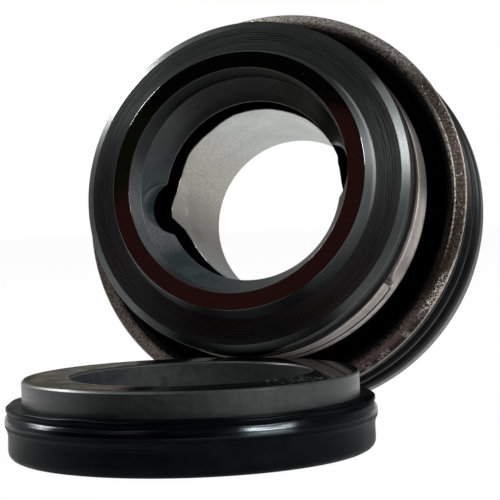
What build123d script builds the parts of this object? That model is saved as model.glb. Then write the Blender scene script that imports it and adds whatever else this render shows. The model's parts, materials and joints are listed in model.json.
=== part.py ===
from build123d import *
import math
import os

# Component mechanical seal for a 20 mm pump shaft, in millimetres.
#
# The seal is two loose units. The seat lies on its back with the centre of its underside at
# the origin: a hard ring in a rubber boot. The head leans back behind it: a drawn metal case
# with a rubber jacket holds a bellows, a coil spring and the spring-loaded face ring.
# The head's rubber collar leans on the seat's top edge and its rear rib stands on the ground.
#
# Every head piece is drawn upright about Z, with height 0 at the back and the nose on top,
# and is then laid over by place_head().

# Seat ring and its boot (radii from the axis, heights from the ground)
seat_radius = 16.68
seat_height = 7.63
seat_bore_radius = 12.0
seat_edge_chamfer = 0.2
seat_underside_height = 1.3
boot_lip_radius = 18.2
boot_lip_height = 5.2
boot_lip_edge = 4.6
boot_lip_corner = 0.25
boot_groove_radius = 18.0
boot_groove_height = 4.4
boot_groove_corner = 0.08
boot_bead_radius = 18.5
boot_bead_height = 3.8
boot_bead_corner = 0.35
boot_wall_radius = 18.15
boot_wall_top = 3.2
boot_corner = 0.85
boot_bore_radius = 12.6

# How the head leans on the seat
lean = 12.216
rest_gap = 0.04

# Face ring
head_length = 22.8
rim_height = 20.1
rim_radius = 18.7
rim_back = 18.7
face_height = 20.65
face_outer_radius = 17.86
nose_foot_radius = 15.05
nose_outer_radius = 14.43
nose_inner_radius = 12.55
throat_radius = 12.1
throat_height = 20.53
throat_back = 19.9
liner_radius = 13.4
shank_radius = 16.4
shank_back = 12.8

# Bellows: lip, collar, convolution and rear flange
lip_radius = 10.17
lip_height = 17.3
lip_edge = 0.45
lip_back = 16.2
liner_inner_radius = 12.1
collar_radius = 17.6
collar_lip_radius = 18.77
collar_lip_low = 17.3
collar_lip_high = 18.63
collar_lip_corner = 0.15
collar_back = 11.4
valley_radius = 17.05
valley_height = 9.0
valley_bend = 1.5
bulge_radius = 18.05
bulge_low = 3.9
bulge_high = 5.4
bulge_bend = 0.85
bellows_wall = 1.1
flange_radius = 17.9
flange_edge = 0.5
flange_thickness = 1.0
flange_bore_radius = 11.1

# Clamp band: one strip whose two ends pass beside each other
band_outer_radius = 18.77
band_low = 12.2
band_high = 15.8
tongue_low = 14.12
tongue_high = 16.7
strip_high = 14.02
tongue_root_angle = 254.0
strip_end_angle = 257.0
tongue_tip_angle = 325.0
shoulder_angle = 326.4
tongue_tip_cut = 0.9

# Case: drawn cup with a flared rim
metal = 0.7
case_inner_radius = 20.3
case_floor = 0.7
flare_start_radius = 21.05
flare_start_height = 10.85
flare_radius = 22.85
flare_height = 10.1
flare_bend_inside = 0.9
flare_bend_outside = 0.25
cup_corner = 0.8

# Rubber jacket with three ribs
jacket_groove_radius = 22.0
rib_radius = 22.92
rib_corner = 0.5
rear_rib_top = 2.2
rear_rib_slope = 0.5
jacket_foot = 2.0
middle_rib_height = 5.3
front_rib_height = 8.65
rib_half_width = 0.6
rib_root = 0.05
rib_tip = 0.3
jacket_top = 9.42

# Inner sleeve with two drive tongues, and the notches that they enter
sleeve_inner_radius = 10.0
sleeve_outer_radius = 10.7
sleeve_front = 14.6
sleeve_flange_radius = 13.4
sleeve_corner = 0.5
drive_angle = 191.0
drive_tongue_front = 16.6
drive_tongue_width = 4.0
drive_notch_radius = 3.2
drive_notch_reach = 12.0

# Coil spring and the two rings that it works between
spring_radius = 14.5
wire_diameter = 1.8
spring_turns = 3.1
spring_gap = 0.02
ring_gauge = 0.6
guide_inner_radius = 12.9
guide_outer_radius = 15.6
guide_wall = 0.5
guide_corner = 0.5
guide_reach = 1.6
guide_back = case_floor + metal + flange_thickness
guide_front = guide_back + ring_gauge
retainer_back = collar_back - ring_gauge


def turned(*corners):
    """Solid turned about Z from a closed outline of (radius, height[, corner radius])."""
    points = [corner[:2] for corner in corners]
    radii = [corner[2] if len(corner) > 2 else 0 for corner in corners]
    with BuildPart() as part:
        with BuildSketch(Plane.XZ):
            with BuildLine():
                FilletPolyline(*points, radius=radii, close=True)
            make_face()
        revolve(axis=Axis.Z)
    return part.part


def ring(inner, outer, low, high):
    """Plain ring of rectangular section."""
    return turned((inner, low), (outer, low), (outer, high), (inner, high))


def ring_arc(inner, outer, low, high, start, end):
    """Piece of a rectangular ring that runs counter-clockwise from start to end, in degrees."""
    with BuildPart() as part:
        with BuildSketch(Plane.XZ.rotated((0, 0, start))):
            with Locations(((inner + outer) / 2, (low + high) / 2)):
                Rectangle(outer - inner, high - low)
        revolve(axis=Axis.Z, revolution_arc=end - start)
    return part.part


def block(angle, reach, width, low, high):
    """Straight block that runs from the axis outwards at an angle."""
    slab = Box(reach, width, high - low, align=(Align.MIN, Align.CENTER, Align.MIN))
    return Rot(0, 0, angle) * Pos(0, 0, low) * slab


def place_head(shape):
    """Lay an upright head piece back on the seat's top edge and the ground."""
    slope = math.radians(lean)
    centre_height = (
        (rib_radius - rib_corner) * math.cos(slope) + rib_corner - rib_corner * math.sin(slope)
    )
    edge_radius = seat_radius - seat_edge_chamfer
    drop = (seat_height - centre_height) * math.cos(slope) + collar_lip_radius + rest_gap
    centre_back = edge_radius + drop / math.sin(slope)
    return Pos(0, centre_back, centre_height) * Rot(90 - lean, 0, 0) * shape


def seat_ring():
    """Hard lapped ring: a plain thick washer with small edge chamfers."""
    body = ring(seat_bore_radius, seat_radius, seat_underside_height, seat_height)
    return chamfer(body.edges().group_by(Axis.Z)[-1], seat_edge_chamfer)


def seat_boot():
    """Rubber cup round the seat ring: flat lip, groove, round bead and straight wall."""
    return turned(
        (boot_bore_radius, 0),
        (boot_wall_radius, 0, boot_corner),
        (boot_wall_radius, boot_wall_top, boot_bead_corner),
        (boot_bead_radius, boot_bead_height, boot_bead_corner),
        (boot_groove_radius, boot_groove_height, boot_groove_corner),
        (boot_lip_radius, boot_lip_edge, boot_groove_corner),
        (boot_lip_radius, boot_lip_height, boot_lip_corner),
        (seat_radius, boot_lip_height),
        (seat_radius, seat_underside_height),
        (boot_bore_radius, seat_underside_height),
    )


def face_ring():
    """Carbon ring: raised lapped nose, stepped-back face, chamfered rim and a long shank."""
    return turned(
        (nose_inner_radius, head_length),
        (nose_outer_radius, head_length),
        (nose_foot_radius, face_height),
        (face_outer_radius, face_height),
        (rim_radius, rim_height),
        (rim_radius, rim_back),
        (shank_radius, rim_back),
        (shank_radius, shank_back),
        (liner_radius, shank_back),
        (liner_radius, throat_back),
        (throat_radius, throat_height),
    )


def bellows():
    """Rubber bellows: lip in the face ring's bore, collar round its shank, folded wall, flange."""
    inner_valley = valley_radius - bellows_wall
    inner_bulge = bulge_radius - bellows_wall
    body = turned(
        (throat_radius, throat_height),
        (lip_radius, lip_height, lip_edge / 2),
        (lip_radius + lip_edge, lip_height - lip_edge, lip_edge / 3),
        (liner_inner_radius, lip_back, lip_edge),
        (liner_inner_radius, collar_back),
        (collar_radius - bellows_wall, collar_back, lip_edge),
        (inner_valley, valley_height, valley_bend),
        (inner_bulge, bulge_high, bulge_bend),
        (inner_bulge, bulge_low, bulge_bend),
        (inner_valley, guide_back, bulge_bend / 3),
        (flange_bore_radius, guide_back),
        (flange_bore_radius, case_floor + metal),
        (flange_radius, case_floor + metal, bulge_bend / 3),
        (flange_radius - flange_edge, guide_back, bulge_bend / 2),
        (bulge_radius, bulge_low, bulge_bend),
        (bulge_radius, bulge_high, bulge_bend),
        (valley_radius, valley_height, valley_bend),
        (collar_radius, collar_back, bulge_bend),
        (collar_radius, collar_lip_low, collar_lip_corner),
        (collar_lip_radius, collar_lip_low, collar_lip_corner),
        (collar_lip_radius, collar_lip_high, collar_lip_corner),
        (shank_radius, collar_lip_high),
        (shank_radius, shank_back),
        (liner_radius, shank_back),
        (liner_radius, throat_back),
    )
    scoop_centre = drive_notch_reach - drive_notch_radius
    scoop = ring(0, drive_notch_radius, lip_back, throat_height)
    for angle in (drive_angle, drive_angle - 180):
        body -= Rot(0, 0, angle) * Pos(scoop_centre, 0, 0) * scoop
    return body


def clamp_band():
    """Metal strip round the collar. One end is a front tongue, the other a rear strip."""
    full_turn = tongue_root_angle + 360
    cuts = (
        (band_high, tongue_high, tongue_tip_angle, full_turn),
        (strip_high, tongue_high, tongue_tip_angle, shoulder_angle),
        (strip_high, tongue_low, strip_end_angle, shoulder_angle),
        (band_low, tongue_low, tongue_root_angle, strip_end_angle),
    )
    body = ring(collar_radius, band_outer_radius, band_low, tongue_high)
    for low, high, start, end in cuts:
        body -= ring_arc(shank_radius, flare_radius, low, high, start, end)
    corner = block(0, flare_radius, tongue_tip_cut, -tongue_tip_cut / 2, tongue_tip_cut / 2)
    return body - Rot(0, 0, tongue_tip_angle) * Pos(0, 0, tongue_low) * Rot(45, 0, 0) * corner


def case():
    """Drawn metal cup: floor with a round hole, straight wall and a rim flared back."""
    slope = math.atan2(flare_start_height - flare_height, flare_radius - flare_start_radius)
    under_radius = metal * math.sin(slope)
    under_height = metal * math.cos(slope)
    outer = case_inner_radius + metal
    top = flare_start_height + (flare_start_radius - case_inner_radius) * math.tan(slope)
    under_top = flare_height - under_height + (flare_radius - under_radius - outer) * math.tan(slope)
    return turned(
        (sleeve_outer_radius, case_floor),
        (outer, case_floor, cup_corner + metal),
        (outer, under_top, flare_bend_outside),
        (flare_radius - under_radius, flare_height - under_height),
        (flare_radius, flare_height),
        (case_inner_radius, top, flare_bend_inside),
        (case_inner_radius, case_floor + metal, cup_corner),
        (sleeve_outer_radius, case_floor + metal),
    )


def case_jacket():
    """Rubber moulded round the case, with a broad rear rib and two narrow ones."""
    inner = case_inner_radius + metal
    corners = [
        (inner, case_floor, cup_corner + metal),
        (inner - jacket_foot, case_floor),
        (inner - jacket_foot, 0, rib_corner / 2),
        (rib_radius, 0, rib_corner),
        (rib_radius, rear_rib_top, rib_corner),
        (jacket_groove_radius, rear_rib_top + rear_rib_slope, rib_corner / 2),
    ]
    for height in (middle_rib_height, front_rib_height):
        corners.append((jacket_groove_radius, height - rib_half_width, rib_root))
        corners.append((rib_radius, height, rib_tip))
        corners.append((jacket_groove_radius, height + rib_half_width, rib_root))
    corners.append((jacket_groove_radius, jacket_top))
    corners.append((inner, jacket_top))
    return turned(*corners)


def inner_sleeve():
    """Thin tube pressed through the case floor, flanged behind it, with two drive tongues."""
    body = turned(
        (sleeve_inner_radius, 0, sleeve_corner),
        (sleeve_flange_radius, 0, sleeve_corner / 2),
        (sleeve_flange_radius, case_floor),
        (sleeve_outer_radius, case_floor),
        (sleeve_outer_radius, sleeve_front),
        (sleeve_inner_radius, sleeve_front),
    )
    wall = ring(sleeve_inner_radius, sleeve_outer_radius, sleeve_front, drive_tongue_front)
    for angle in (drive_angle, drive_angle - 180):
        tongue = block(angle, liner_radius, drive_tongue_width, sleeve_front, drive_tongue_front)
        body += wall & tongue
    return body


def spring_retainer():
    """Angle-section ring between the spring and the back of the bellows' collar."""
    inner = guide_inner_radius
    return turned(
        (inner, retainer_back - guide_reach),
        (inner + guide_wall, retainer_back - guide_reach),
        (inner + guide_wall, retainer_back),
        (guide_outer_radius, retainer_back),
        (guide_outer_radius, collar_back),
        (inner, collar_back, guide_corner),
    )


def rear_spring_guide():
    """Angle-section ring that clamps the bellows' flange to the case floor."""
    inner = guide_inner_radius
    return turned(
        (inner, guide_back, guide_corner),
        (guide_outer_radius, guide_back),
        (guide_outer_radius, guide_front),
        (inner + guide_wall, guide_front),
        (inner + guide_wall, guide_front + guide_reach),
        (inner, guide_front + guide_reach),
    )


def coil_spring():
    """Round-wire compression spring with its ends ground flat."""
    low = guide_front + spring_gap
    high = retainer_back - spring_gap
    trim = wire_diameter / 4
    travel = high - low - wire_diameter + 2 * trim
    with BuildPart() as part:
        with BuildLine() as line:
            Helix(
                pitch=travel / spring_turns,
                height=travel,
                radius=spring_radius,
                center=(0, 0, low + wire_diameter / 2 - trim),
            )
        with BuildSketch(Plane(line.line @ 0, z_dir=line.line % 0)):
            Circle(wire_diameter / 2)
        sweep(is_frenet=True)
    return part.part & ring(guide_inner_radius, shank_radius, low, high)


root_pieces = {
    "seat_ring": seat_ring(),
    "seat_boot": seat_boot(),
}
head_pieces = {
    "case": case(),
    "case_jacket": case_jacket(),
    "inner_sleeve": inner_sleeve(),
    "rear_spring_guide": rear_spring_guide(),
    "coil_spring": coil_spring(),
    "bellows": bellows(),
    "face_ring": face_ring(),
    "spring_retainer": spring_retainer(),
    "clamp_band": clamp_band(),
}

os.makedirs("parts", exist_ok=True)
for name, piece in root_pieces.items():
    export_step(piece, f"parts/{name}.step")
for name, piece in head_pieces.items():
    export_step(place_head(piece), f"parts/{name}.step")
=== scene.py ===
"""Looks of the component mechanical seal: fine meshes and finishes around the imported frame."""

import json
import math

import bpy
import numpy as np
from mathutils import Matrix, Vector


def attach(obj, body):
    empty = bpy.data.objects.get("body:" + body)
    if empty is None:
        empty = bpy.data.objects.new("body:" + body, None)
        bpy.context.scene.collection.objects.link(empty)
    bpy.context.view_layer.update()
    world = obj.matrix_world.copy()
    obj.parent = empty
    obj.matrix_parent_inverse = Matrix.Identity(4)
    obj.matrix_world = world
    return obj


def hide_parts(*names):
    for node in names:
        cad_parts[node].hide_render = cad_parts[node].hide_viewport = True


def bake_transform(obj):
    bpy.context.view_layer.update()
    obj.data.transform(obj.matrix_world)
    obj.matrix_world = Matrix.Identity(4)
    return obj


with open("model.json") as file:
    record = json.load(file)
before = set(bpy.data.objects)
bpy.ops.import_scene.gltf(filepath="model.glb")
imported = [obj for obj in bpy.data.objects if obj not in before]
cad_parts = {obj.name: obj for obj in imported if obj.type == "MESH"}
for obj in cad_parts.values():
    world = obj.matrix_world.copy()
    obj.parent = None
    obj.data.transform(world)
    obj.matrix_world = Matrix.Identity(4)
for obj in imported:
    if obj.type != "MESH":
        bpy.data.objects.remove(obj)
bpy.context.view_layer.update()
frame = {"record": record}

MM = 0.001
MOUNTS = {mount["name"]: mount for mount in frame["record"]["mounts"]}

TURN_STEPS = 320
FLATTEST_CORNER = math.radians(172)
CORNER_STEP = math.radians(22)
SHARP_ANGLE = math.radians(40)

# ---- Sizes in millimetres: radii from a unit's own axis, heights from its back or underside
OUTLINE_STEP = 0.35
HIDDEN_STEP = 0.8
EDGE_ROUND = 0.05
SHARP_ROUND = 0.03
CORNER_REACH = 0.5

SEAT_RADIUS = 16.68
SEAT_HEIGHT = 7.63
SEAT_BORE = MOUNTS["seat_bore"]["dims"]["r_mm"]
SEAT_CHAMFER = 0.2
SEAT_UNDERSIDE = 1.3
BOOT_LIP_RADIUS = 18.2
BOOT_LIP_HEIGHT = 5.2
BOOT_LIP_EDGE = 4.7
BOOT_LIP_CORNER = 0.25
BOOT_GROOVE_RADIUS = 18.0
BOOT_GROOVE_HEIGHT = 4.5
BOOT_GROOVE_CORNER = 0.08
BOOT_BEAD_RADIUS = 18.5
BOOT_BEAD_HEIGHT = 3.8
BOOT_BEAD_CORNER = (BOOT_BEAD_RADIUS + 0.2, BOOT_BEAD_HEIGHT - 0.1, 1.1)
BOOT_WALL_RADIUS = MOUNTS["seat_housing_fit"]["dims"]["r_mm"]
BOOT_WALL_TOP = 3.2
BOOT_WALL_CORNER = (BOOT_WALL_RADIUS - 0.05, BOOT_WALL_TOP - 0.4, 1.6)
BOOT_CORNER = 0.85
BOOT_BORE = 12.6
# Unevenness round a turn, as (seed, waves in a turn, size)
BOOT_REACH_WAVE = (21, (3, 7, 12, 19), 0.16)
BOOT_HEIGHT_WAVE = (22, (2, 5, 9, 16), 0.2)

HEAD_LENGTH = 22.8
RIM_HEIGHT = 20.1
RIM_RADIUS = 18.7
RIM_BACK = 18.7
FACE_HEIGHT = 20.65
FACE_OUTER = 17.86
NOSE_FOOT = 15.05
NOSE_OUTER = 14.43
NOSE_INNER = 12.55
NOSE_ROUND = 0.1
CHAMFER_ROUND = 0.06
RIM_ROUND = 0.08
THROAT_RADIUS = 12.1
THROAT_HEIGHT = 20.53
THROAT_BACK = 19.9
RECESS_TILT = 0.06
LINER_RADIUS = 13.4
SHANK_RADIUS = 16.4
SHANK_BACK = 12.8

LIP_RADIUS = 10.17
LIP_HEIGHT = 17.3
LIP_EDGE = 0.45
LIP_BACK = 16.2
LINER_INNER = 12.1
COLLAR_RADIUS = 17.6
COLLAR_LIP_RADIUS = 18.77
COLLAR_LIP_LOW = 17.3
COLLAR_LIP_HIGH = 18.63
COLLAR_LIP_CORNER = 0.15
COLLAR_BACK = 11.4
VALLEY_RADIUS = 17.05
VALLEY_HEIGHT = 9.0
VALLEY_BEND = 1.5
BULGE_RADIUS = 18.05
BULGE_LOW = 3.9
BULGE_HIGH = 5.4
BULGE_BEND = 0.85
BELLOWS_WALL = 1.1
FLANGE_RADIUS = 17.9
FLANGE_EDGE = 0.5
FLANGE_THICKNESS = 1.0
FLANGE_BORE = 11.1

BAND_RADIUS = 18.77
BAND_LOW = 12.2
BAND_HIGH = 15.8
BAND_CORNER = 0.1
STRIP_HIGH = 13.98
TONGUE_LOW = 14.18
TONGUE_HIGH = 16.7
TONGUE_DROOP = 0.3
TIP_RISE = 0.9
BAND_SLANT = 0.28
BURR_HEIGHT = 0.1

# The band's angles and turns, in degrees: it runs from the strip's end to the tongue's tip
STRIP_END = 257.0
BAND_SHOULDER = 326.4
SHOULDER_TURN = 4.5
FINE_TURN = 5.0
FINE_STEP = 0.25
TONGUE_ROOT = 254.0 + 360
ROOT_STEP = 0.05
TONGUE_TIP = 325.0 + 360
TIP_TURN = 1.4
TIP_STEPS = 8
TIP_RISE_TURNS = (-1.2, 0.4)
DROOP_TURNS = (8, 40)
BAND_SLANT_ANGLE = 315.0
BURR_ANGLE = 316.5 + 360
BURR_TURN = 0.35

METAL = 0.7
CASE_INNER = 20.3
CASE_OUTER = CASE_INNER + METAL
CASE_FLOOR = 0.7
CUP_FLOOR = CASE_FLOOR + METAL
FLARE_START_RADIUS = 21.05
FLARE_START_HEIGHT = 10.85
FLARE_RADIUS = 22.85
FLARE_HEIGHT = 10.1
FLARE_BEND_INSIDE = 0.9
FLARE_BEND_OUTSIDE = 0.25
CUP_CORNER = 0.8

GROOVE_RADIUS = 22.0
RIB_RADIUS = MOUNTS["head_housing_fit"]["dims"]["r_mm"]
RIB_CORNER = 0.5
RIB_HEIGHTS = (5.3, 8.65)
RIB_HALF = 0.6
RIB_TIP = 0.3
REAR_RIB_TOP = 2.2
REAR_RIB_SLOPE = 0.5
JACKET_FOOT = 2.0
JACKET_TOP = 9.42

SLEEVE_INNER = MOUNTS["shaft_bore"]["dims"]["r_mm"]
SLEEVE_OUTER = 10.7
SLEEVE_FRONT = 14.6
SLEEVE_FLANGE = 13.4
SLEEVE_CORNER = 0.5
DRIVE_ANGLES = (191.0, 11.0)
# The rough front edge of the sleeve, as (angle, rise), with a drive tongue on each side
SLEEVE_EDGE = (
    (5, 1.7), (17, 1.7), (24, 0.5), (58, 0.6), (64, 0.1), (75, -0.1), (90, 0.15), (110, 0.3),
    (128, -0.2), (150, 0.3), (165, -0.25), (175, 0.0), (182, 0.9), (188, 1.6), (196, 2.0), (200, -1.5),
    (208, -2.9), (222, -3.7), (240, -3.9), (250, -2.6), (258, -0.9), (340, 0.0), (357, 0.4),
)
SLEEVE_EDGE_DEPTH = 6.0
SLEEVE_EDGE_CORNER = 0.1
SLEEVE_EDGE_WAVE = (5, (11, 17, 29, 43), 0.1)
NOTCH_RADIUS = 3.2
NOTCH_REACH = 12.0
NOTCH_MARGIN = 0.01

SPRING_RADIUS = 14.5
WIRE = 1.8
SPRING_TURNS = 3.1
SPRING_CLEARANCE = 0.02
SPRING_STEPS = 260
WIRE_SIDES = 16
RING_GAUGE = 0.6
GUIDE_INNER = 12.9
GUIDE_OUTER = 15.6
GUIDE_WALL = 0.5
GUIDE_CORNER = 0.5
GUIDE_REACH = 1.6
GUIDE_BACK = CUP_FLOOR + FLANGE_THICKNESS
GUIDE_FRONT = GUIDE_BACK + RING_GAUGE
RETAINER_BACK = COLLAR_BACK - RING_GAUGE
# The spring's two guides, as (name, body, node, heights of its seat, its spring face and its wall's end)
GUIDES = (
    ("front_guide", "face_group", "spring_retainer", COLLAR_BACK, RETAINER_BACK, RETAINER_BACK - GUIDE_REACH),
    ("back_guide", "root", "rear_spring_guide", GUIDE_BACK, GUIDE_FRONT, GUIDE_FRONT + GUIDE_REACH),
)

# The head's own frame: its back centre, its axis towards the nose and the directions across it
HEAD_BACK = Vector(MOUNTS["back_stop"]["pos_m"])
HEAD_AXIS = Vector(MOUNTS["sealing_nose"]["axis"]).normalized()
HEAD_SIDE = Vector((1, 0, 0))
HEAD_UP = HEAD_AXIS.cross(HEAD_SIDE)
HEAD_TURN = Matrix((HEAD_SIDE, HEAD_UP, HEAD_AXIS)).transposed().to_4x4()

# From a unit's own coordinates, in metres, into the shared frame
HEAD = Matrix.Translation(HEAD_BACK) @ HEAD_TURN
SEAT = Matrix.Identity(4)
SEAT_UP = Vector((0, 1, 0))


def new_object(name, data):
    """New object, linked into the scene."""
    made = bpy.data.objects.new(name, data)
    bpy.context.scene.collection.objects.link(made)
    return made


# ---- Meshes
def corner_points(before, corner, after, radius):
    """Points of a rounded corner, from one tangent point to the other."""
    to_before = before - corner
    to_after = after - corner
    to_before /= np.linalg.norm(to_before)
    to_after /= np.linalg.norm(to_after)
    opening = math.acos(float(np.clip(to_before @ to_after, -1, 1)))
    if opening > FLATTEST_CORNER:
        return [corner]
    reach = radius / math.tan(opening / 2)
    inward = to_before + to_after
    centre = corner + inward / np.linalg.norm(inward) * radius / math.sin(opening / 2)
    start = corner + to_before * reach - centre
    end = corner + to_after * reach - centre
    first = math.atan2(start[1], start[0])
    sweep = (math.atan2(end[1], end[0]) - first + math.pi) % math.tau - math.pi
    steps = max(2, math.ceil(abs(sweep) / CORNER_STEP))
    angles = [first + sweep * k / steps for k in range(steps + 1)]
    return [centre + radius * np.array((math.cos(a), math.sin(a))) for a in angles]


def outline(corners, hidden_below=0):
    """Closed outline through (radius, height[, corner radius]), rounded and evenly divided.

    Below a given height, where nothing is seen, the divisions are wider.
    It also returns how near each point is to a corner: 1 on it, 0 from CORNER_REACH away."""
    places = [np.array(corner[:2], float) for corner in corners]
    rounds = [corner[2] if len(corner) > 2 else EDGE_ROUND for corner in corners]
    points = []
    count = len(places)
    for k in range(count):
        points += corner_points(places[k - 1], places[k], places[(k + 1) % count], rounds[k])
    divided = []
    for a, b in zip(points, points[1:] + points[:1]):
        length = np.linalg.norm(b - a)
        step = HIDDEN_STEP if max(a[1], b[1]) < hidden_below else OUTLINE_STEP
        steps = max(1, math.ceil(length / step))
        shares = [k / steps for k in range(steps)]
        if length > 4 * EDGE_ROUND:
            shares = sorted({*shares, EDGE_ROUND / length, 1 - EDGE_ROUND / length})
        divided += [a + (b - a) * share for share in shares]
    path = np.array(divided)
    nearest = np.min([np.linalg.norm(path - place, axis=1) for place in places], axis=0)
    return path, np.clip(1 - nearest / CORNER_REACH, 0, 1)


def finish_mesh(name, local, faces, edge, placing, body, slot, node, material):
    """Object from head or seat coordinates in millimetres, with its material, put on its body."""
    mesh = bpy.data.meshes.new(name)
    world = [placing @ Vector(point * MM) for point in local]
    mesh.from_pydata(world, [], faces)
    mesh.validate()
    spot = mesh.attributes.new("spot", "FLOAT_VECTOR", "POINT")
    spot.data.foreach_set("vector", np.asarray(local, np.float32).ravel())
    wear = mesh.attributes.new("edge", "FLOAT", "POINT")
    wear.data.foreach_set("value", np.asarray(edge, np.float32))
    mesh.shade_smooth()
    mesh.set_sharp_from_angle(angle=SHARP_ANGLE)
    piece = new_object(name, mesh)
    mesh.materials.append(material)
    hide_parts(node)
    if body:
        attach(piece, body)
    return piece


def turned(angle, radius, height):
    """Points at angles round the axis, given with their radii and heights."""
    return np.column_stack((radius * np.cos(angle), radius * np.sin(angle), height))


def skin(across, stations, closed=False):
    """Faces over a row of equal sections. A row that isn't closed gets its two ends as well."""
    faces = []
    for a in range(stations if closed else stations - 1):
        b = (a + 1) % stations
        for k in range(across):
            n = (k + 1) % across
            faces.append((a * across + k, b * across + k, b * across + n, a * across + n))
    if not closed:
        faces.append(tuple(range(across)))
        faces.append(tuple(reversed(range((stations - 1) * across, stations * across))))
    return faces


def lathe(corners, shape=None, hidden_below=0):
    """Vertices, faces and corner nearness of an outline turned about Z.

    shape(angle, radius, height) may return a moved radius and height for each vertex."""
    path, near = outline(corners, hidden_below)
    angle = np.repeat(np.linspace(0, math.tau, TURN_STEPS, endpoint=False), len(path))
    radius = np.tile(path[:, 0], TURN_STEPS)
    height = np.tile(path[:, 1], TURN_STEPS)
    if shape:
        radius, height = shape(angle, radius, height)
    return turned(angle, radius, height), skin(len(path), TURN_STEPS, True), np.tile(near, TURN_STEPS)


def noise_wave(angle, seed, waves, size):
    """Smooth uneven wave round a turn, made of a few harmonics."""
    rng = np.random.default_rng(seed)
    total = np.zeros_like(angle)
    for wave in waves:
        total += rng.uniform(0.4, 1) * np.sin(wave * angle + rng.uniform(0, math.tau))
    return size * total / len(waves)


def smooth_step(value, low, high):
    """0 at the low value, 1 at the high one and smooth between them."""
    share = np.clip((value - low) / (high - low), 0, 1)
    return share * share * (3 - 2 * share)


def angle_gap(angle, centre):
    """Signed angle from a centre given in degrees, in radians from -pi to pi."""
    return (angle - math.radians(centre) + math.pi) % math.tau - math.pi


def build_seat_ring(material):
    corners = [
        (SEAT_BORE, SEAT_UNDERSIDE),
        (SEAT_RADIUS, SEAT_UNDERSIDE),
        (SEAT_RADIUS, SEAT_HEIGHT - SEAT_CHAMFER),
        (SEAT_RADIUS - SEAT_CHAMFER, SEAT_HEIGHT, SHARP_ROUND),
        (SEAT_BORE + SEAT_CHAMFER, SEAT_HEIGHT, SHARP_ROUND),
        (SEAT_BORE, SEAT_HEIGHT - SEAT_CHAMFER),
    ]
    finish_mesh("lapped_seat", *lathe(corners), SEAT, "root", "seat_ring", "seat_ring", material)


def build_seat_boot(material):
    corners = [
        (BOOT_BORE, 0),
        (BOOT_WALL_RADIUS, 0, BOOT_CORNER),
        BOOT_WALL_CORNER,
        BOOT_BEAD_CORNER,
        (BOOT_GROOVE_RADIUS, BOOT_GROOVE_HEIGHT, BOOT_GROOVE_CORNER),
        (BOOT_LIP_RADIUS, BOOT_LIP_EDGE, BOOT_GROOVE_CORNER),
        (BOOT_LIP_RADIUS, BOOT_LIP_HEIGHT, BOOT_LIP_CORNER),
        (SEAT_RADIUS, BOOT_LIP_HEIGHT),
        (SEAT_RADIUS, SEAT_UNDERSIDE),
        (BOOT_BORE, SEAT_UNDERSIDE),
    ]

    def uneven(angle, radius, height):
        """The moulded lip wanders a little in height and reach."""
        above = smooth_step(height, BOOT_BEAD_HEIGHT, (BOOT_GROOVE_HEIGHT + BOOT_LIP_EDGE) / 2)
        lip = above * smooth_step(radius, SEAT_RADIUS, BOOT_GROOVE_RADIUS)
        reach = noise_wave(angle, *BOOT_REACH_WAVE) * lip
        rise = noise_wave(angle, *BOOT_HEIGHT_WAVE) * lip
        return radius + reach, height + rise

    finish_mesh("rubber_boot", *lathe(corners, uneven), SEAT, "root", "boot_rubber", "seat_boot", material)


def build_face_ring(material):
    corners = [
        (NOSE_INNER, HEAD_LENGTH, SHARP_ROUND),
        (NOSE_OUTER, HEAD_LENGTH, NOSE_ROUND),
        (NOSE_FOOT, FACE_HEIGHT + RECESS_TILT),
        (FACE_OUTER, FACE_HEIGHT - RECESS_TILT, CHAMFER_ROUND),
        (RIM_RADIUS, RIM_HEIGHT, RIM_ROUND),
        (RIM_RADIUS, RIM_BACK),
        (SHANK_RADIUS, RIM_BACK),
        (SHANK_RADIUS, SHANK_BACK),
        (LINER_RADIUS, SHANK_BACK),
        (LINER_RADIUS, THROAT_BACK),
        (THROAT_RADIUS, THROAT_HEIGHT, SHARP_ROUND),
    ]
    finish_mesh("lapped_face", *lathe(corners), HEAD, "face_group", "face_carbon", "face_ring", material)


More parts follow.
